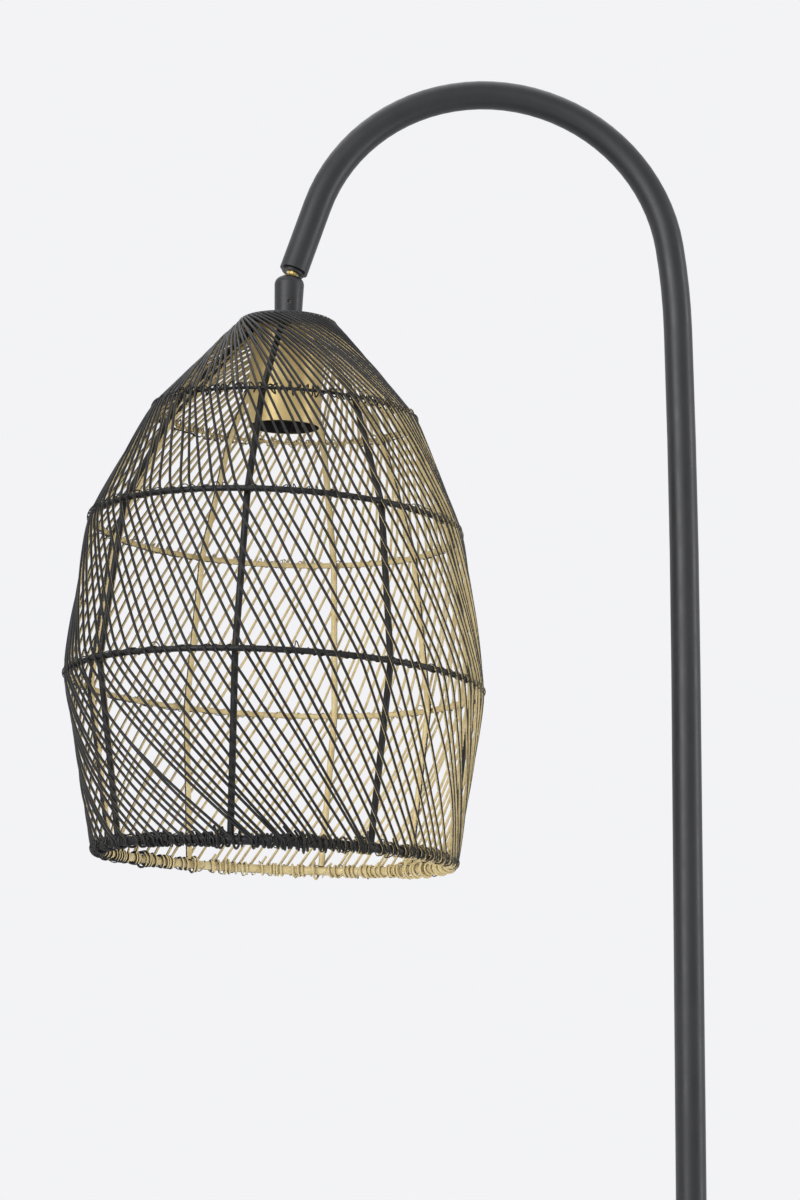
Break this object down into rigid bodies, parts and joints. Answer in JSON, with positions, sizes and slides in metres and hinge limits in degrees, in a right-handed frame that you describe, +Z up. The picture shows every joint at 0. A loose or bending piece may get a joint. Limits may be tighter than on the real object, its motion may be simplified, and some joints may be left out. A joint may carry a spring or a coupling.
{
  "type": "wire cage floor lamp",
  "caption": "Floor lamp with an arched tube on a round weighted base, and an open wire cage shade hung from a ball swivel with a lampholder inside a cup.",
  "frame": {"origin": "centre of the base's underside, on the floor", "axes": "+Z up along the pole; the arch reaches over towards -X in the plane y = 0"},
  "size_m": [0.5209, 0.28, 1.55],
  "materials": {
    "black_powder_coat": "satin black powder coat, fine texture",
    "cage_two_tone": "matt black outside, sprayed gold on the faces that look inwards",
    "gold_paint": "satin gold paint",
    "brass": "turned brass",
    "zinc_steel": "zinc plated",
    "cast_iron": "raw casting",
    "black_rubber": "matt",
    "nylon": "natural nylon",
    "black_bakelite": "moulded phenolic, satin"
  },
  "bodies": {
    "stand": {"base_pad": "black_rubber", "base_weight": "cast_iron", "base_cover": "black_powder_coat", "bolt_washer": "zinc_steel", "pole_bolt": "zinc_steel", "foot_insert": "zinc_steel", "lower_pole": "black_powder_coat", "cord_grommet": "black_rubber", "pole_coupler": "zinc_steel", "upper_pole": "black_powder_coat", "end_plug": "black_powder_coat", "ball_stud": "brass"},
    "swivel_seat": {"seat_cup": "nylon"},
    "swivel_cup": {"pressure_cup": "zinc_steel"},
    "shade": {"spring_washers": "zinc_steel", "neck": "black_powder_coat", "grub_screw": "brass", "nipple": "zinc_steel", "top_disc": "black_powder_coat", "lock_washer": "zinc_steel", "socket_cup": "gold_paint", "cup_nut": "zinc_steel", "holder_cap": "black_bakelite", "holder_body": "black_bakelite", "holder_liner": "black_bakelite", "thread_shell": "brass", "contact_insert": "black_bakelite", "centre_contact": "brass", "terminal_screws": "brass", "ribs": "cage_two_tone", "upper_ring": "cage_two_tone", "shoulder_ring": "cage_two_tone", "waist_ring": "cage_two_tone", "mouth_ring": "cage_two_tone", "crown_wires_upper": "cage_two_tone", "crown_wires_lower": "cage_two_tone", "shoulder_wires": "cage_two_tone", "waist_wires": "cage_two_tone", "skirt_wires_upper": "cage_two_tone", "skirt_wires_lower": "cage_two_tone", "wire_hooks": "cage_two_tone"}
  },
  "joints": [
    {"name": "swing_in_line", "type": "hinge", "parent": "stand", "child": "swivel_seat", "pos_m": [-0.25036, 0, 1.40743], "axis": [0, 1, 0], "range_deg": [-5, 30]},
    {"name": "swing_sideways", "type": "hinge", "parent": "swivel_seat", "child": "swivel_cup", "pos_m": [-0.25036, 0, 1.40743], "axis": [1, 0, 0], "range_deg": [-15, 15]},
    {"name": "shade_turn", "type": "hinge", "parent": "swivel_cup", "child": "shade", "pos_m": [-0.25036, 0, 1.40743], "axis": [0.0052, -0.0958, 0.9954], "range_deg": [-170, 170]}
  ]
}
